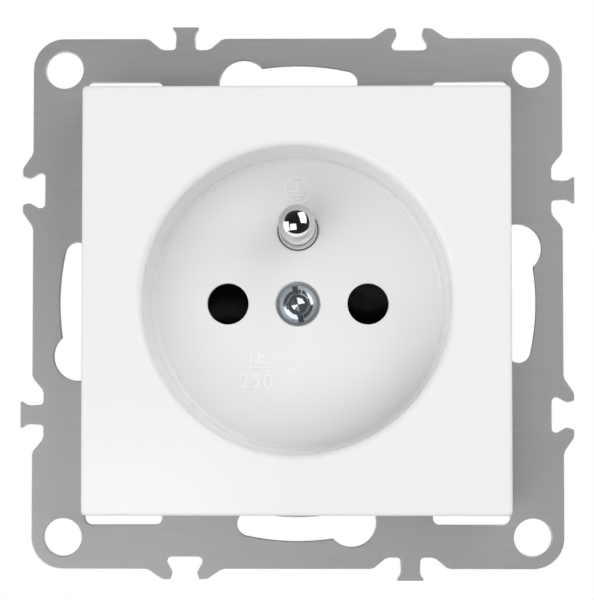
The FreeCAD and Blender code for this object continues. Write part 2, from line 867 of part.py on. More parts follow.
def build_earth_bridge():
    """A strip from the pin to the back of the strap, with a tab bent into the earth clamp cage."""
    body = new_body("earth_bridge")
    front = size.bridge_front
    back = front + size.bridge_thick
    top = size.bridge_top
    tail = size.tail_inner
    strip = side_sketch(body, "BridgeStrip")
    outline(strip, [
        (front, size.earth_height - 3),
        (back, size.earth_height - 3),
        (back, tail),
        (size.cage_back - 0.4, tail),
        (size.cage_back - 0.4, tail + size.tail_thick),
        (back, tail + size.tail_thick),
        (back, top),
        (ZERO, top),
        (ZERO, top - size.bridge_thick),
        (front, top - size.bridge_thick),
    ])
    pad_both_ways(body, strip, size.tail_half * 2)
    hole = front_sketch(body, "BridgeHole", -front)
    circle(hole, size.earth_shank, ZERO, size.earth_height)
    pocket(body, hole, size.bridge_thick)
    return body


def build_earth_pin():
    """A turned pin with a domed end and a collar at the floor of the recess, riveted into the bridge."""
    body = new_body("earth_pin")
    tip = size.well_floor + size.earth_length
    collar_front = size.well_floor + 0.1
    dome_foot = tip - size.earth_dome_height
    shoulder = -size.bridge_front
    tail = shoulder - size.bridge_thick
    half = top_sketch(body, "EarthPinSection")
    steps = [
        (size.earth_radius, -dome_foot),
        (size.earth_radius, -collar_front),
        (size.earth_collar, -collar_front),
        (size.earth_collar, -size.earth_collar_back),
        (size.earth_radius, -size.earth_collar_back),
        (size.earth_radius, -shoulder),
        (size.earth_shank, -shoulder),
        (size.earth_shank, -tail),
        (size.earth_shank + 0.8, -tail),
        (size.earth_shank + 0.8, -tail + 0.7),
        (ZERO, -tail + 0.7),
        (ZERO, -tip),
    ]
    edges = chain(half, steps)

    # The end of the pin is a shallow dome whose centre lies on the axis
    centre = (ZERO, -tip + size.earth_dome)
    start = math.atan2((centre[1] + dome_foot).number, size.earth_radius.number)
    curve = Part.Circle(vector(centre), FreeCAD.Vector(0, 0, 1), size.earth_dome.number)
    dome = half.addGeometry(Part.ArcOfCircle(curve, -math.pi / 2, -start))
    half.addConstraint(Sketcher.Constraint("Coincident", dome, 1, edges[-1], 2))
    half.addConstraint(Sketcher.Constraint("Coincident", dome, 2, edges[0], 1))
    half.addConstraint(Sketcher.Constraint("PointOnObject", dome, 3, -2))
    turned(body, half)
    place(body, up=size.earth_height)
    return body


def build_terminal(label, turn):
    """A clamp cage: a square ring open front and back, with a threaded hole for its screw."""
    body = new_body(label)
    wall = size.cage_wall
    inner = size.tail_inner - wall
    outer = size.cage_outer
    half = size.cage_half
    length = size.cage_back - size.cage_front
    ring = front_sketch(body, label + "Ring", -size.cage_front)
    rectangle(ring, inner, -half, outer, half)
    rectangle(ring, inner + wall, -half + wall, outer - wall * 1.5, half - wall)
    pad(body, ring, length, backward=True)
    thread = side_sketch(body, label + "Thread", outer)
    circle(thread, size.terminal_screw_shank + 0.03, (size.cage_front + size.cage_back) / 2, ZERO)
    pocket(body, thread, wall * 1.5)
    place(body, turn=turn)
    return body


def build_clamp(label, turn):
    """The plate that the screw presses on the wires, with its edges bevelled."""
    body = new_body(label)
    inner = size.clamp_inner
    half = size.cage_half - size.cage_wall - 0.1
    section = front_sketch(body, label + "Section", -size.cage_front - 0.4)
    outline(section, [
        (inner + 0.3, -half),
        (inner + size.clamp_thick, -half),
        (inner + size.clamp_thick, half),
        (inner + 0.3, half),
        (inner, half - 0.8),
        (inner, -half + 0.8),
    ])
    pad(body, section, size.cage_back - size.cage_front - 0.8, backward=True)
    place(body, turn=turn)
    return body


def build_terminal_screw(label, turn):
    """A slotted screw whose end presses on the clamp plate."""
    body = new_body(label)
    tip = size.clamp_inner + size.clamp_thick
    under_head = size.cage_outer + 0.2
    end = size.terminal_screw_end
    section = top_sketch(body, label + "Section")
    outline(section, [
        (tip, ZERO),
        (tip, size.terminal_screw_shank),
        (under_head, size.terminal_screw_shank),
        (under_head, size.terminal_screw_head),
        (end, size.terminal_screw_head),
        (end, ZERO),
    ])
    turned(body, section, axis="H_Axis")
    slot = side_sketch(body, label + "Slot", end)
    rectangle(
        slot, as_size(-0.4), -size.terminal_screw_head - 1, as_size(0.4), size.terminal_screw_head + 1,
    )
    pocket(body, slot, as_size(0.8))
    middle = (size.cage_front + size.cage_back) / 2
    place(body, depth=-middle, turn=turn)
    return body


# Fasteners

def build_plate_screw():
    """The screw in the middle of the recess, with a cross and a slot across its head."""
    body = new_body("plate_screw")
    seat = size.screw_seat
    top = seat + size.screw_head_height
    section = top_sketch(body, "PlateScrewSection")
    outline(section, [
        (ZERO, -top),
        (size.screw_head, -top),
        (size.screw_head, -seat),
        (size.screw_shank, -seat),
        (size.screw_shank, -size.screw_tip),
        (ZERO, -size.screw_tip),
    ])
    turned(body, section)
    round_edges(
        body, size.screw_head_bevel, lambda edge: circle_at(edge, size.screw_head, top), "Chamfer",
    )
    slot = front_sketch(body, "PlateScrewSlot", top)
    rectangle(slot, as_size(-0.38), -size.screw_head - 1, as_size(0.38), size.screw_head + 1)
    pocket(body, slot, as_size(0.9))
    cross = front_sketch(body, "PlateScrewCross", top)
    reach = size.screw_head * 0.62
    rectangle(cross, -reach, as_size(-0.45), reach, as_size(0.45))
    pocket(body, cross, as_size(1.2))
    place(body, turn=size.screw_turn.number)
    return body


def build_plate_screw_nut():
    """The captive nut behind the contact cover."""
    body = new_body("plate_screw_nut")
    blank = front_sketch(body, "NutBlank", size.nut_front)
    polygon(blank, 6, size.nut_across)
    circle(blank, size.screw_shank)
    pad(body, blank, size.nut_height, backward=True)
    return body


def build_cover_screw(label, side):
    body = new_body(label)
    seat = size.tray_floor
    section = top_sketch(body, label + "Section")
    outline(section, [
        (ZERO, -seat - 1.5),
        (size.cover_screw_head, -seat - 1.5),
        (size.cover_screw_head, -seat),
        (size.cover_screw_shank, -seat),
        (size.cover_screw_shank, -seat + 7),
        (ZERO, -seat + 7),
    ])
    turned(body, section)
    slot = front_sketch(body, label + "Slot", seat + 1.5)
    rectangle(slot, as_size(-0.35), -size.cover_screw_head - 1, as_size(0.35), size.cover_screw_head + 1)
    pocket(body, slot, as_size(0.7))
    place(body, across=side, up=-size.cover_screw_drop)
    return body


def build_strap_rivet(label, side):
    """A rivet through the strap and the flange of the housing."""
    body = new_body(label)
    front = size.strap_thick
    back = size.flange_thick
    section = top_sketch(body, label + "Section")
    outline(section, [
        (ZERO, -front - size.rivet_head_height),
        (size.rivet_head, -front - size.rivet_head_height),
        (size.rivet_head, -front),
        (size.rivet_shank, -front),
        (size.rivet_shank, back),
        (size.rivet_tail, back),
        (size.rivet_tail, back + size.rivet_tail_height),
        (ZERO, back + size.rivet_tail_height),
    ])
    turned(body, section)
    place(body, across=size.rivet_place * side, up=size.rivet_place * side)
    return body


def build_all():
    """Every piece of the socket, as a list of objects."""
    pieces = [
        build_front_plate(),
        build_plate_screw(),
        build_plate_screw_nut(),
        build_support_strap(),
        build_contact_cover(),
        build_safety_shutter(),
        build_shutter_spring(),
        build_base_housing(),
        build_earth_pin(),
        build_earth_bridge(),
        build_cover_screw("cover_screw_left", -size.cover_screw_side),
        build_cover_screw("cover_screw_right", size.cover_screw_side),
        build_contact("contact_left", 180.0),
        build_contact("contact_right", 0.0),
    ]
    for where, turn in (("left", 180.0), ("right", 0.0), ("earth", -90.0)):
        pieces.append(build_terminal("terminal_" + where, turn))
        pieces.append(build_clamp("clamp_" + where, turn))
        pieces.append(build_terminal_screw("terminal_screw_" + where, turn))
    pieces.append(build_strap_rivet("strap_rivet_upper", 1))
    pieces.append(build_strap_rivet("strap_rivet_lower", -1))
    return pieces


def check(pieces):
    """Stop if any object failed to build or any piece isn't a valid solid."""
    doc.recompute()
    for item in doc.Objects:
        if "Invalid" in item.State or "Error" in item.State:
            raise RuntimeError("%s failed: %s" % (item.Label, item.State))
    for piece in pieces:
        shape = piece.Shape
        if shape.isNull() or not shape.isValid() or not shape.Solids:
            raise RuntimeError("%s has no valid solid" % piece.Label)


def export(pieces):
    os.makedirs("parts", exist_ok=True)
    for piece in pieces:
        piece.Shape.exportStep("parts/%s.step" % piece.Label)
        print("%-22s %9.1f mm3, %d solid" % (piece.Label, piece.Shape.Volume, len(piece.Shape.Solids)))


all_pieces = build_all()
check(all_pieces)
export(all_pieces)
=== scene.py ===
# %% [markdown]
# A flush wall socket with a round recess, a male earth pin and a steel strap, dressed for its photograph.
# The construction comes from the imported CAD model, which loads first as a fixed frame. Everything below
# gives that frame its surfaces: rounded edges, mouldings, metals, and the studio that lights them.
# The frame is in metres. X points to the right, Z up, and the front of the socket looks along -Y.

# %% Load the frame
import json
import math
import bmesh
import bpy
from mathutils import Matrix, Vector


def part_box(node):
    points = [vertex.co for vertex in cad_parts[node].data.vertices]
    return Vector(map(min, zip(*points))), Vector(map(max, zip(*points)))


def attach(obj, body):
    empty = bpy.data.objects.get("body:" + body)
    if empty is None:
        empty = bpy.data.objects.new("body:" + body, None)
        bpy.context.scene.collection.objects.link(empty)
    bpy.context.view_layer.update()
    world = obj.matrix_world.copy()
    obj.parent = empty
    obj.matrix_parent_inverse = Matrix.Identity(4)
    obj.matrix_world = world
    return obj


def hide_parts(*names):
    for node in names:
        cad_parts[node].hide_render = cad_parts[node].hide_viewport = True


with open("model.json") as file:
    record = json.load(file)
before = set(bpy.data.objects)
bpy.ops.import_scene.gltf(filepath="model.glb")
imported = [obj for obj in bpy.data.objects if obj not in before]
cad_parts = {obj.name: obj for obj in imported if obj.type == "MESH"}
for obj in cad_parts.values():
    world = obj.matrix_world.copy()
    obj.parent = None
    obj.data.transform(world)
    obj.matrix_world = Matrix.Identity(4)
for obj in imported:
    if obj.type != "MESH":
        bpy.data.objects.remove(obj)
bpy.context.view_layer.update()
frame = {"nodes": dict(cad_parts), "record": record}
MM = 0.001

# %% [markdown]
# Two places are used again and again: the plate's front face and the floor of its recess. The front face
# is where the plate's box begins. The floor is 15 mm behind it, and the line of the two pin holes is the
# middle of the plate. The earth pin stands 10 mm above that line.

# %% Places taken from the frame
plate_low, plate_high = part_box("front_plate")
pin_low, pin_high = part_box("earth_pin")
screw_low, screw_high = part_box("plate_screw")
FRONT = plate_low.y
RECESS_DEPTH = 15.0 * MM
FLOOR = FRONT + RECESS_DEPTH
RECESS_RADIUS = 19.8 * MM
PIN_AXIS = Vector(((pin_low.x + pin_high.x) / 2, 0, (pin_low.z + pin_high.z) / 2))
SCREW_AXIS = Vector(((screw_low.x + screw_high.x) / 2, 0, (screw_low.z + screw_high.z) / 2))
print("floor of the recess at y = %.2f mm, earth pin at z = %.2f mm" % (FLOOR / MM, PIN_AXIS.z / MM))

# %% [markdown]
# Materials come first, because each piece is given its own as it is made. A real finish is never one flat
# number: a moulding has a faint orange peel, and a rolled sheet has fine lines. Each material is therefore
# a Principled shader whose roughness and bump read a noise in Object coordinates, which are metres here
# because every piece sits at the origin. What is even all over is set on the shader's own sockets.
# Nearly all of a noise lies between 0.3 and 0.7, so that range is spread over the two values it drives.

# %% Material helpers
NOISE_LOW = 0.3
NOISE_HIGH = 0.7


def new_material(name, colour, roughness, metallic=0.0):
    """A material with a Principled shader, and the shader itself."""
    material = bpy.data.materials.new(name)
    material.use_nodes = True
    shader = material.node_tree.nodes["Principled BSDF"]
    shader.inputs["Base Color"].default_value = (*colour, 1.0)
    shader.inputs["Roughness"].default_value = roughness
    shader.inputs["Metallic"].default_value = metallic
    return material, shader


def grain(material, per_metre, detail=2.0):
    """A noise with its own number of spots per metre along X, Y and Z."""
    nodes, links = material.node_tree.nodes, material.node_tree.links
    place = nodes.new("ShaderNodeTexCoord")
    stretch = nodes.new("ShaderNodeMapping")
    stretch.inputs["Scale"].default_value = per_metre
    noise = nodes.new("ShaderNodeTexNoise")
    noise.inputs["Scale"].default_value = 1.0
    noise.inputs["Detail"].default_value = detail
    links.new(place.outputs["Object"], stretch.inputs["Vector"])
    links.new(stretch.outputs["Vector"], noise.inputs["Vector"])
    return noise


def vary(material, noise, socket, low, high):
    """Let a socket of the shader follow a noise between two values."""
    nodes, links = material.node_tree.nodes, material.node_tree.links
    spread = nodes.new("ShaderNodeMapRange")
    spread.inputs["From Min"].default_value = NOISE_LOW
    spread.inputs["From Max"].default_value = NOISE_HIGH
    spread.inputs["To Min"].default_value = low
    spread.inputs["To Max"].default_value = high
    links.new(noise.outputs["Fac"], spread.inputs["Value"])
    links.new(spread.outputs["Result"], nodes["Principled BSDF"].inputs[socket])


def tint(material, noise, first, second):
    """Let the base colour follow a noise between two colours."""
    nodes, links = material.node_tree.nodes, material.node_tree.links
    ramp = nodes.new("ShaderNodeValToRGB")
    for stop, place, colour in zip(ramp.color_ramp.elements, (NOISE_LOW, NOISE_HIGH), (first, second)):
        stop.position = place
        stop.color = (*colour, 1.0)
    links.new(noise.outputs["Fac"], ramp.inputs["Fac"])
    links.new(ramp.outputs["Color"], nodes["Principled BSDF"].inputs["Base Color"])


def emboss(material, noise, height, strength=1.0):
    """Raise the surface with a noise, by a height in metres."""
    nodes, links = material.node_tree.nodes, material.node_tree.links
    bump = nodes.new("ShaderNodeBump")
    bump.inputs["Distance"].default_value = height
    bump.inputs["Strength"].default_value = strength
    links.new(noise.outputs["Fac"], bump.inputs["Height"])
    links.new(bump.outputs["Normal"], nodes["Principled BSDF"].inputs["Normal"])


print("material helpers ready")

# %% [markdown]
# The plate is moulded in a bright white thermoplastic with a polished surface. A flat white gloss looks
# like paper, so the moulding gets a very shallow waviness a millimetre or two across, which is what makes
# a highlight on real plastic tremble. A little more roughness in patches stands for handling. The marks on
# the floor of the recess are painted a shade lighter, a painted highlight for the light that their raised
# edges catch. Of the two blacks, the satin one is the housing's, and the smooth one is the shutter's, which
# is so dark that it shows only its reflections.

# %% White and black mouldings


def white_moulding():
    material, shader = new_material("white_plastic", (0.93, 0.93, 0.93), 0.12)
    shader.inputs["IOR"].default_value = 1.5
    wave = grain(material, (420, 420, 420), detail=1.0)
    patches = grain(material, (70, 70, 70))
    vary(material, patches, "Roughness", 0.1, 0.14)
    emboss(material, wave, 0.001 * MM)
    return material


# Painted highlight: the marks get a lighter white than the plate, standing in for the light their raised
# edges catch.
def painted_highlight_marks():
    material, _ = new_material("painted_highlight_marks", (0.985, 0.985, 0.985), 0.2)
    patches = grain(material, (900, 900, 900))
    vary(material, patches, "Roughness", 0.16, 0.26)
    return material


def black_moulding():
    material, _ = new_material("black_plastic", (0.02, 0.02, 0.021), 0.45)
    spark = grain(material, (2600, 2600, 2600), detail=3.0)
    tint(material, spark, (0.017, 0.017, 0.018), (0.026, 0.026, 0.028))
    vary(material, spark, "Roughness", 0.38, 0.52)
    emboss(material, spark, 0.02 * MM)
    return material


def black_polished():
    material, shader = new_material("black_gloss", (0.003, 0.003, 0.003), 0.3)
    shader.inputs["Specular IOR Level"].default_value = 0.2
    patches = grain(material, (600, 600, 600))
    vary(material, patches, "Roughness", 0.24, 0.36)
    return material


white_plastic = white_moulding()
painted_highlight_white = painted_highlight_marks()
black_plastic = black_moulding()
black_gloss = black_polished()
print("mouldings:", white_plastic.name, painted_highlight_white.name, black_plastic.name, black_gloss.name)

# %% [markdown]
# The strap is sheet steel that was brushed sideways before it was stamped. Brushing leaves long shallow
# scratches, so its noise is stretched: a few spots a metre along X, and thousands along Z. The same noise
# moves the colour, the roughness and the bump, because on real metal all three come from one scratch. The
# screws have a cloudy, bluish zinc plate, and the earth pin a clear nickel one.

# %% Metals


def brushed_steel():
    material, _ = new_material("brushed_strap", (0.61, 0.607, 0.604), 0.48, metallic=0.8)
    lines = grain(material, (90, 90, 5200), detail=3.0)
    tint(material, lines, (0.58, 0.577, 0.574), (0.635, 0.631, 0.627))
    vary(material, lines, "Roughness", 0.45, 0.52)
    emboss(material, lines, 0.004 * MM, strength=0.5)
    return material


def zinc_plate():
    material, _ = new_material("zinc_steel", (0.6, 0.66, 0.71), 0.16, metallic=0.9)
    cloud = grain(material, (1100, 1100, 1100), detail=3.0)
    tint(material, cloud, (0.52, 0.6, 0.66), (0.7, 0.74, 0.78))
    vary(material, cloud, "Roughness", 0.07, 0.15)
    emboss(material, cloud, 0.004 * MM)
    return material


def nickel_plate():
    material, _ = new_material("plated_pin", (0.74, 0.735, 0.73), 0.05, metallic=1.0)
    haze = grain(material, (1500, 300, 1500))
    vary(material, haze, "Roughness", 0.03, 0.08)
    return material


def rolled_metal(name, dark, light):
    material, _ = new_material(name, light, 0.3, metallic=1.0)
    lines = grain(material, (300, 2400, 300), detail=3.0)
    tint(material, lines, dark, light)
    vary(material, lines, "Roughness", 0.24, 0.38)
    emboss(material, lines, 0.006 * MM)
    return material


brushed_strap = brushed_steel()
zinc_steel = zinc_plate()
plated_pin = nickel_plate()
brass = rolled_metal("brass", (0.62, 0.44, 0.17), (0.74, 0.56, 0.26))
spring_steel = rolled_metal("spring_steel", (0.3, 0.3, 0.31), (0.4, 0.4, 0.41))
print("metals:", [m.name for m in (brushed_strap, zinc_steel, plated_pin, brass, spring_steel)])

# %% [markdown]
# A CAD mesh arrives as loose triangles. To round its edges, a copy is merged, its flat areas are cleared of
# triangles, and the sharp edges are bevelled. Real edges are never perfectly sharp, and the thin light that
# a bevel catches is most of what makes a stamped or moulded piece look real. Weighted normals then keep the
# large flat faces flat, because each corner listens to its biggest face.

# %% Helpers for pieces
WELD = 0.002 * MM
FLAT = math.radians(0.6)


def mesh_of(form, name):
    """Turn a finished bmesh into a mesh."""
    mesh = bpy.data.meshes.new(name)
    form.to_mesh(mesh)
    form.free()
    return mesh


def linked(name, data):
    """A new object in the scene."""
    made = bpy.data.objects.new(name, data)
    bpy.context.scene.collection.objects.link(made)
    return made


def turn(form, angle, axis, verts=None):
    """Turn a bmesh, or some of its vertices, about one of the axes through the origin."""
    matrix = Matrix.Rotation(angle, 3, axis)
    bmesh.ops.rotate(form, cent=(0, 0, 0), matrix=matrix, verts=verts or form.verts)


def shift(form, vec, verts=None):
    """Move a bmesh, or some of its vertices."""
    bmesh.ops.translate(form, vec=vec, verts=verts or form.verts)


def weld(form, distance=WELD):
    """Join the vertices of a bmesh that lie closer together than this."""
    bmesh.ops.remove_doubles(form, verts=form.verts, dist=distance)


def extruded(form, faces):
    """Extrude some faces of a bmesh, and return the vertices that are free to move."""
    made = bmesh.ops.extrude_face_region(form, geom=faces)["geom"]
    return [item for item in made if isinstance(item, bmesh.types.BMVert)]


def settle(form, name, material, slot, body, *nodes, crease=40):
    """Turn a finished bmesh into a piece that rides on a body and stands for some CAD nodes. Edges sharper
    than the crease stay sharp in the shading."""
    mesh = mesh_of(form, name)
    mesh.materials.append(material)
    mesh.shade_smooth()
    mesh.set_sharp_from_angle(angle=math.radians(crease))
    piece = linked(name, mesh)
    even = piece.modifiers.new("even_normals", "WEIGHTED_NORMAL")
    even.keep_sharp = True
    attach(piece, body)
    if nodes:
        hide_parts(*nodes)
    print("%-20s %6d faces" % (name, len(mesh.polygons)))


def merged_copy(node):
    """A bmesh of a CAD node with its triangles joined up and its flat areas cleared."""
    form = bmesh.new()
    form.from_mesh(frame["nodes"][node].data)
    weld(form)
    bmesh.ops.dissolve_limit(form, angle_limit=FLAT, verts=form.verts, edges=form.edges)
    return form


def sharp_edges(form, degrees=40):
    """The edges where two faces meet at more than this angle."""
    limit = math.radians(degrees)
    return [edge for edge in form.edges if edge.is_manifold and edge.calc_face_angle() > limit]


def round_off(form, edges, offset, segments=2):
    """Bevel some edges to a round."""
    bmesh.ops.bevel(
        form, geom=edges, offset=offset, offset_type="OFFSET", segments=segments,
        profile=0.5, affect="EDGES", clamp_overlap=False, material=-1,
    )


print("piece helpers ready")

# %% [markdown]
# The strap is one stamped blank. The punch leaves a soft edge on the side that it enters, so its outline,
# holes and windows all get a small round. It is the piece with the most silhouette, and the frame already
# has that silhouette, so the copy only needs its edges.

# %% Strap
STRAP_EDGE = 0.13 * MM
strap = merged_copy("support_strap")
round_off(strap, sharp_edges(strap), STRAP_EDGE, segments=3)
settle(strap, "strap", brushed_strap, "brushed_strap", "insert", "support_strap")

# %% [markdown]
# The plate and its recess are one moulding. Its outer edge is rounded in the frame. The rim of the recess
# has a plain bevel there, and here that bevel is softened on both of its edges, so that the rim carries one
# continuous highlight. The step at the foot of the wall gets the same, only smaller.

# %% Front plate


def ring_edges(form, radius, depth, tolerance=0.05 * MM):
    """The edges of a bmesh that lie on a circle round the middle, at one depth."""
    def on_ring(vert):
        return (
            abs(math.hypot(vert.co.x, vert.co.z) - radius) < tolerance
            and abs(vert.co.y - depth) < tolerance
        )
    return [edge for edge in form.edges if all(on_ring(vert) for vert in edge.verts)]


RIM_BEVEL = 0.6 * MM
RIM_ROUND = 0.3 * MM
FOOT_BEVEL = 0.5 * MM
FOOT_ROUND = 0.22 * MM
plate = merged_copy("front_plate")
rim = ring_edges(plate, RECESS_RADIUS + RIM_BEVEL, FRONT)
rim += ring_edges(plate, RECESS_RADIUS, FRONT + RIM_BEVEL)
foot = ring_edges(plate, RECESS_RADIUS - FOOT_BEVEL, FLOOR)
foot += ring_edges(plate, RECESS_RADIUS, FLOOR - FOOT_BEVEL)
print("rim edges", len(rim), "foot edges", len(foot))
round_off(plate, rim, RIM_ROUND, segments=4)
round_off(plate, [edge for edge in foot if edge.is_valid], FOOT_ROUND, segments=3)
settle(plate, "plate", white_plastic, "white_plastic", "insert", "front_plate")

# %% [markdown]
# The earth pin is turned and plated, so it is a solid of revolution: its half outline is spun about its
# axis. The dome's arc is a spin as well, of a single vertex about the centre of the dome. At its foot the
# pin flares out to a collar, in an arc that ends just proud of the floor. Behind the floor the collar goes
# on, and a groove near the end holds the earth bridge. The pin is the one mirror in the picture, so it gets
# many steps: a coarse dome shows facets at once.

# %% Earth pin
PIN_RADIUS = 2.4 * MM
PIN_EDGE = 0.06 * MM
DOME_RADIUS = 2.6 * MM
DOME_HEIGHT = 1.6 * MM
DOME_TURN = math.acos((DOME_RADIUS - DOME_HEIGHT) / DOME_RADIUS)
COLLAR_RADIUS = 2.65 * MM
COLLAR_LENGTH = 4.8 * MM
COLLAR_PROUD = 0.1 * MM
FLARE_HEIGHT = 0.6 * MM
FLARE_TURN = math.radians(38)
FLARE_STEPS = 8
GROOVE_RADIUS = 1.6 * MM
GROOVE_FRONT = pin_high.y - 1.7 * MM
GROOVE_BACK = pin_high.y - 0.7 * MM


def domed(profile, top, radius, angle, steps):
    """Start a half outline with an arc from its tip outwards, and return the arc's last vertex."""
    tip = profile.verts.new((0, top, 0))
    bmesh.ops.spin(
        profile, geom=[tip], cent=(0, top + radius, 0), axis=(0, 0, 1), dvec=(0, 0, 0),
        angle=angle, steps=steps, use_merge=False,
    )
    return max(profile.verts, key=lambda vert: vert.co.x)


def extend(profile, last, points):
    """Carry a half outline on through more points, given as radius and depth."""
    for radius, depth in points:
        following = profile.verts.new((radius, depth, 0))
        profile.edges.new((last, following))
        last = following


def spun(profile, steps):
    """Spin a bmesh that holds a half outline about the Y axis."""
    bmesh.ops.spin(
        profile, geom=profile.verts[:] + profile.edges[:], cent=(0, 0, 0), axis=(0, 1, 0),
        dvec=(0, 0, 0), angle=math.tau, steps=steps, use_merge=True,
    )
    weld(profile, 0.001 * MM)
    bmesh.ops.recalc_face_normals(profile, faces=profile.faces)


pin = bmesh.new()
dome_end = domed(pin, pin_low.y, DOME_RADIUS, DOME_TURN, steps=18)
collar_front = FLOOR - COLLAR_PROUD
collar_back = collar_front + COLLAR_LENGTH
flare = []
for step in range(FLARE_STEPS + 1):
    angle = FLARE_TURN * step / FLARE_STEPS
    swell = (1 - math.cos(angle)) / (1 - math.cos(FLARE_TURN))
    sink = 1 - math.sin(angle) / math.sin(FLARE_TURN)
    flare.append((PIN_RADIUS + (COLLAR_RADIUS - PIN_RADIUS) * swell, collar_front - FLARE_HEIGHT * sink))
extend(pin, dome_end, flare + [
    (COLLAR_RADIUS, collar_back),
    (PIN_RADIUS, collar_back),
    (PIN_RADIUS, GROOVE_FRONT),
    (GROOVE_RADIUS, GROOVE_FRONT),
    (GROOVE_RADIUS, GROOVE_BACK),
    (PIN_RADIUS, GROOVE_BACK),
    (PIN_RADIUS, pin_high.y),
    (0, pin_high.y),
])
spun(pin, steps=96)
round_off(pin, sharp_edges(pin, 60), PIN_EDGE)
shift(pin, PIN_AXIS)
settle(pin, "earth_pin_turned", plated_pin, "plated_pin", "insert", "earth_pin")

# %% [markdown]
# The screw in the middle of the recess has a head that takes either a flat or a cross driver. Its recess is
# cut from the spun head with five boolean cutters: a small pyramid where the driver's point goes, a round
# socket, a slot right across, and a cross of two bars with sloping ends. The point goes first, and each
# cutter starts above the face that it cuts, because two faces in one plane leave a cut unfinished. The
# cuts meet in slivers, so the mesh is welded before its edges are softened, and once more after that.

# %% Plate screw
HEAD_RADIUS = (screw_high.x - screw_low.x) / 2
HEAD_HEIGHT = 1.9 * MM
HEAD_DOME = 7.4 * MM
HEAD_SHOULDER = 2.55 * MM
SHOULDER_DROP = 0.25 * MM
SHANK_RADIUS = 1.45 * MM
SLOT_WIDTH = 0.72 * MM
SLOT_DEPTH = 0.56 * MM
WING_WIDTH = 0.85 * MM
WING_SPAN = 3.5 * MM
WING_DEPTH = 0.58 * MM
WING_TAPER = 0.92
SOCKET_TOP = 1.5 * MM
SOCKET_FOOT = 1.42 * MM
SOCKET_DEPTH = 0.6 * MM
SOCKET_NECK = 1.0 * MM
POINT_RADIUS = 0.95 * MM
POINT_TIP = 0.04 * MM
POINT_DEPTH = 0.87 * MM
POINT_NECK = 1.6 * MM
SCREW_EDGE = 0.03 * MM
SLIVER = 0.01 * MM
SCREW_TURN = math.radians(-11)


def cut(form, cutters):
    """A bmesh with some others cut out of it, one after the other."""
    whole = linked("whole", mesh_of(form, "whole"))
    tools = [linked("cutter", mesh_of(cutter, "cutter")) for cutter in cutters]
    for tool in tools:
        boolean = whole.modifiers.new("cut", "BOOLEAN")
        boolean.operation = "DIFFERENCE"
        boolean.solver = "EXACT"
        boolean.object = tool
    depsgraph = bpy.context.evaluated_depsgraph_get()
    result = bmesh.new()
    result.from_mesh(whole.evaluated_get(depsgraph).to_mesh())
    for scratch in [whole, *tools]:
        bpy.data.objects.remove(scratch)
    return result


def wedge(width, length, depth, top, taper):
    """A bar that goes down from a face at y = top, with ends that slope inwards."""
    form = bmesh.new()
    bmesh.ops.create_cube(form, size=1)
    bmesh.ops.scale(form, vec=(width, 2 * depth, length), verts=form.verts)
    shift(form, (0, top, 0))
    deep = [vert for vert in form.verts if vert.co.y > top]
    bmesh.ops.scale(form, vec=(1, 1, taper), verts=deep)
    return form


def funnel(upper, lower, neck, depth, top, sides):
    """A cone that goes down from a face at y = top, with a straight neck above it."""
    form = bmesh.new()
    bmesh.ops.create_cone(form, cap_ends=True, segments=sides, radius1=upper, radius2=lower, depth=depth)
    turn(form, -math.pi / 2, "X")
    shift(form, (0, top + depth / 2, 0))
    form.normal_update()
    mouth = [face for face in form.faces if face.normal.y < -0.9]
    shift(form, (0, -neck, 0), extruded(form, mouth))
    bmesh.ops.delete(form, geom=[face for face in mouth if face.is_valid], context="FACES_ONLY")
    bmesh.ops.recalc_face_normals(form, faces=form.faces)
    return form


head_top = screw_low.y
seat = head_top + HEAD_HEIGHT
screw = bmesh.new()
shoulder = domed(screw, head_top, HEAD_DOME, math.asin(HEAD_SHOULDER / HEAD_DOME), steps=8)
extend(screw, shoulder, [
    (HEAD_RADIUS, shoulder.co.y + SHOULDER_DROP),
    (HEAD_RADIUS, seat),
    (SHANK_RADIUS, seat),
    (SHANK_RADIUS, screw_high.y),
    (0, screw_high.y),
])
spun(screw, steps=64)
wing, wing_across = [wedge(WING_WIDTH, WING_SPAN, WING_DEPTH, head_top, WING_TAPER) for _ in range(2)]
turn(wing_across, math.pi / 2, "Y")
screw = cut(screw, [
    funnel(POINT_RADIUS, POINT_TIP, POINT_NECK, POINT_DEPTH - SOCKET_DEPTH, head_top + SOCKET_DEPTH, 8),
    funnel(SOCKET_TOP, SOCKET_FOOT, SOCKET_NECK, SOCKET_DEPTH, head_top, 32),
    wedge(SLOT_WIDTH, 3 * HEAD_RADIUS, SLOT_DEPTH, head_top, 1.0),
    wing,
    wing_across,
])
weld(screw, SLIVER)
round_off(screw, sharp_edges(screw, 50), SCREW_EDGE, segments=1)
weld(screw)
turn(screw, SCREW_TURN, "Y")
shift(screw, SCREW_AXIS)
settle(screw, "cross_head_screw", zinc_steel, "zinc_steel", "insert", "plate_screw", crease=12)

# %% [markdown]
# The shutter is a small black rotor that closes both pin holes from behind. Only its two ramps show, as a
# deep gloss in the holes. It is the one piece that moves, so it rides on its own body.

# %% Shutter
SHUTTER_EDGE = 0.12 * MM
shutter = merged_copy("safety_shutter")
round_off(shutter, sharp_edges(shutter), SHUTTER_EDGE, segments=3)
settle(shutter, "shutter_rotor", black_gloss, "black_gloss", "shutter", "safety_shutter")

# %% [markdown]
# Behind the wall the socket is a satin black housing. Moulded corners are rounder than stamped ones, so its
# bevel is wider than the strap's.

# %% Housing
HOUSING_EDGE = 0.22 * MM
housing = merged_copy("base_housing")
round_off(housing, sharp_edges(housing), HOUSING_EDGE)
settle(housing, "housing", black_plastic, "black_plastic", "insert", "base_housing")

# %% [markdown]
# The remaining pieces are small: screws, clamp cages, contacts and rivets. One loop gives each of them a
# merged copy with a fine edge and the finish of its slot in the record. A node that already has its piece
# is hidden by then, and is passed over.

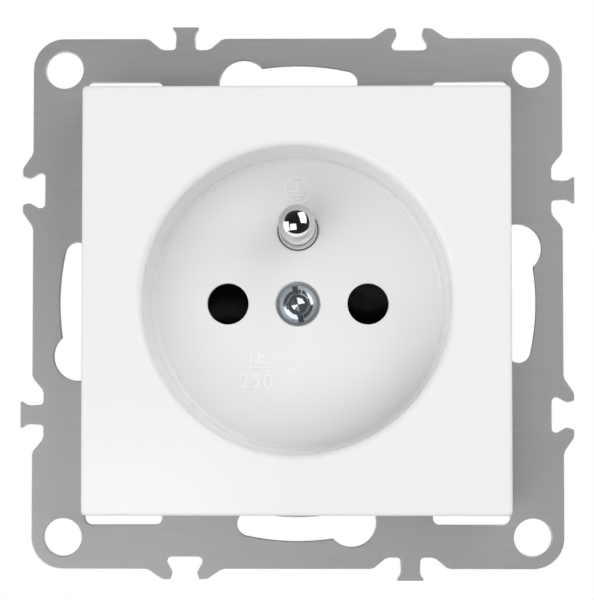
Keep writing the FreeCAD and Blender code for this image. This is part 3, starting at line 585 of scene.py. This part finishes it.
# %% Small pieces
FINISHES = {
    "black_plastic": black_plastic,
    "zinc_steel": zinc_steel,
    "brass": brass,
    "spring_steel": spring_steel,
}
SMALL_EDGE = 0.07 * MM
body_of_node = {
    node: body for body, nodes in frame["record"]["behaviour"]["bodies"].items() for node in nodes
}
for part in frame["record"]["subparts"]:
    node, slot_name = part["node"], part["material_slot"]
    if frame["nodes"][node].hide_render:
        continue
    small = merged_copy(node)
    round_off(small, sharp_edges(small), SMALL_EDGE)
    settle(small, node + "_finished", FINISHES[slot_name], slot_name, body_of_node[node], node)

# %% [markdown]
# The floor of the recess carries marks in very low relief, moulded in the same white: the sign for earth
# above the pin, and the two ratings below the left hole, as plain numbers with a line between them. Each
# stroke is a thin bar with a softened edge, and stands a fifth of a millimetre proud. The marks are painted
# a shade lighter than the surface round them, a painted highlight for the light that their raised edges
# catch. The bars of the sign and the numbers are given in rows of millimetres.

# %% Relief on the floor
RELIEF = 0.2 * MM
RELIEF_EDGE = 0.06 * MM
TEXT_EDGE = 0.04 * MM
STROKE = 0.32 * MM
SIGN_CENTRE = Vector((0, 0, 15.4 * MM))
SIGN_RADIUS = 1.9 * MM
SIGN_STEM_RISE = 0.72 * MM
SIGN_STEM_LENGTH = 1.4 * MM
SIGN_BARS = ((0.02, 2.7), (0.58, 2.0), (1.14, 1.0))  # how far below the centre, how wide
RATING_LEFT = -8.7 * MM
RATING_RIGHT = -2.5 * MM
RATING_LINE = -8.6 * MM


def bar(form, across, up, width, height):
    """Add a raised bar to the floor, given by its middle."""
    made = bmesh.ops.create_cube(form, size=1)["verts"]
    bmesh.ops.scale(form, vec=(width, 2 * RELIEF, height), verts=made)
    shift(form, (across, FLOOR, up), made)


def raised_ring(form, centre, radius, width):
    """Add a raised ring to the floor."""
    circles = []
    for reach in (radius, radius - width):
        circles += bmesh.ops.create_circle(form, cap_ends=False, segments=64, radius=reach)["verts"]
    edges = list(dict.fromkeys(edge for vert in circles for edge in vert.link_edges))
    lifted = extruded(form, bmesh.ops.bridge_loops(form, edges=edges)["faces"])
    shift(form, (0, 0, RELIEF), lifted)
    turn(form, math.pi / 2, "X", circles + lifted)
    shift(form, (centre.x, FLOOR, centre.z), circles + lifted)


def raised_text(words, height, middle, base):
    """Words in low relief on the floor, as a mesh, centred on a place across."""
    curve = bpy.data.curves.new("words", "FONT")
    curve.body = words
    curve.size = height
    curve.align_x = "CENTER"
    curve.extrude = RELIEF - TEXT_EDGE
    curve.bevel_depth = TEXT_EDGE
    curve.space_character = 1.1
    source = linked("words", curve)
    bpy.context.view_layer.update()
    depsgraph = bpy.context.evaluated_depsgraph_get()
    form = bmesh.new()
    form.from_mesh(source.evaluated_get(depsgraph).to_mesh())
    bpy.data.objects.remove(source)
    weld(form)
    turn(form, math.pi / 2, "X")
    shift(form, (middle, FLOOR, base))
    return form


# The signs and ratings take the lighter white, which is a painted highlight.
signs = bmesh.new()
bar(signs, SIGN_CENTRE.x, SIGN_CENTRE.z + SIGN_STEM_RISE, STROKE * 1.2, SIGN_STEM_LENGTH)
for drop, width in SIGN_BARS:
    bar(signs, SIGN_CENTRE.x, SIGN_CENTRE.z - drop * MM, width * MM, STROKE * 0.9)
bar(signs, (RATING_LEFT + RATING_RIGHT) / 2, RATING_LINE, RATING_RIGHT - RATING_LEFT, STROKE * 0.8)
round_off(signs, sharp_edges(signs), RELIEF_EDGE)
raised_ring(signs, SIGN_CENTRE, SIGN_RADIUS, STROKE)
bmesh.ops.recalc_face_normals(signs, faces=signs.faces)
settle(signs, "floor_signs", painted_highlight_white, "white_plastic", "insert")

# name, words, height, middle, base line
RATINGS = (
    ("rating_upper", "16", 2.7, -5.7, -8.0),
    ("rating_lower", "250", 2.9, -5.7, -11.4),
    ("rating_wave", "~", 2.9, -1.4, -9.6),
)
for name, words, height, middle, base in RATINGS:
    number = raised_text(words, height * MM, middle * MM, base * MM)
    settle(number, name, painted_highlight_white, "white_plastic", "insert")

# %% [markdown]
# The studio is a white one. The world is white to the camera and in reflections, and dimmer to matt
# surfaces, so that the lamps shape them. The floor has a glow of its own for the camera, and takes the
# socket's shadow on top of it. Three soft boxes light the recess from the left, the lower left and the
# upper right: they are the three white patches on the pin's dome, and the pin throws a soft shadow away
# from them. A close fill just below the lens lights the floor of the recess, and shows in no reflection. A
# photographer also hangs a dark card behind the lens, so that polished metal has something dark to show.
# The card here shows in reflections only.

# %% World


def by_ray(tree, to_matt, to_eye):
    """A strength with one value for matt surfaces, and another for the camera, reflections and glass."""
    nodes, links = tree.nodes, tree.links
    path = nodes.new("ShaderNodeLightPath")
    shown = path.outputs["Is Camera Ray"]
    for ray in ("Is Glossy Ray", "Is Transmission Ray"):
        either = nodes.new("ShaderNodeMath")
        either.operation = "MAXIMUM"
        links.new(shown, either.inputs[0])
        links.new(path.outputs[ray], either.inputs[1])
        shown = either.outputs[0]
    strength = nodes.new("ShaderNodeMapRange")
    strength.inputs["To Min"].default_value = to_matt
    strength.inputs["To Max"].default_value = to_eye
    links.new(shown, strength.inputs["Value"])
    return strength.outputs["Result"]


WORLD_TO_MATT = 0.25
world = bpy.data.worlds.new("studio")
bpy.context.scene.world = world
world.use_nodes = True
background = world.node_tree.nodes["Background"]
background.inputs["Color"].default_value = (1, 1, 1, 1)
world.node_tree.links.new(by_ray(world.node_tree, WORLD_TO_MATT, 1.0), background.inputs["Strength"])
print("world strength for matt surfaces", WORLD_TO_MATT)

# %% Floor and dark card


def stage_plane(name, side, colour, place):
    """A square plane in the studio, which isn't part of the socket."""
    form = bmesh.new()
    bmesh.ops.create_grid(form, x_segments=1, y_segments=1, size=side / 2)
    mesh = mesh_of(form, name)
    material, _ = new_material(name, (colour, colour, colour), 0.9)
    mesh.materials.append(material)
    plane = linked(name, mesh)
    plane.location = place
    return plane


FLOOR_GLOW = 0.8
floor = stage_plane("floor", 6, 0.6, (0, 2.75, -0.5))
floor_tree = floor.data.materials[0].node_tree
floor_shader = floor_tree.nodes["Principled BSDF"]
floor_shader.inputs["Emission Color"].default_value = (1, 1, 1, 1)
floor_tree.links.new(by_ray(floor_tree, 0.0, FLOOR_GLOW), floor_shader.inputs["Emission Strength"])

card = stage_plane("dark_card", 12, 0.01, (0, -1.1, 0))
card.rotation_euler = (math.pi / 2, 0, 0)
for seen_by in ("visible_camera", "visible_diffuse", "visible_transmission", "visible_shadow"):
    setattr(card, seen_by, False)
print("floor at z = %.2f m, dark card at y = %.2f m" % (floor.location.z, card.location.y))

# %% Soft boxes


def from_socket(off_axis, clock):
    """The direction that leaves the socket at an angle off its axis and an angle round it, in degrees."""
    off_axis, clock = math.radians(off_axis), math.radians(clock)
    return Vector((
        math.sin(off_axis) * math.cos(clock), -math.cos(off_axis), math.sin(off_axis) * math.sin(clock),
    ))


# name, degrees off the axis, degrees round it, width, height, distance, power
SOFT_BOXES = (
    ("box_left", 64, 196, 0.5, 0.7, 0.8, 1.55),
    ("box_below_left", 29, 228, 0.5, 0.5, 0.8, 1.25),
    ("box_above_right", 50, 44, 0.55, 0.95, 0.8, 2.9),
    ("fill_in_front", 8, 262, 0.45, 0.45, 0.4, 0.55),
)
for name, off_axis, clock, width, height, distance, power in SOFT_BOXES:
    lamp = bpy.data.lights.new(name, "AREA")
    lamp.shape = "RECTANGLE"
    lamp.size = width
    lamp.size_y = height
    lamp.energy = power
    box = linked(name, lamp)
    outwards = from_socket(off_axis, clock)
    box.location = outwards * distance
    box.rotation_euler = outwards.to_track_quat("Z", "Y").to_euler()
    print("%-18s %.2f W" % (name, power))
bpy.data.objects["fill_in_front"].visible_glossy = False

# %% [markdown]
# The photograph was taken with a long lens from just below the middle, a shade to the right. The camera
# goes round a target near the plate by two angles and a distance, which is how a photographer thinks of it,
# and the lens is set so that the strap fills the frame as it does there.

# %% Camera
AZIMUTH = math.radians(0.8)
ELEVATION = math.radians(-2.1)
DISTANCE = 0.247
TARGET = Vector((0, -5.0 * MM, 0.18 * MM))
LENS = 113.5
SENSOR = 36

lens = bpy.data.cameras.new("camera")
lens.lens = LENS
lens.sensor_width = SENSOR
lens.clip_start = 0.01
camera = linked("camera", lens)
back = Vector((
    math.sin(AZIMUTH) * math.cos(ELEVATION), -math.cos(AZIMUTH) * math.cos(ELEVATION), math.sin(ELEVATION),
))
camera.location = TARGET + back * DISTANCE
camera.rotation_euler = back.to_track_quat("Z", "Y").to_euler()
bpy.context.scene.camera = camera
bpy.context.scene.view_settings.view_transform = "Standard"
print("camera at", [round(x, 4) for x in camera.location])
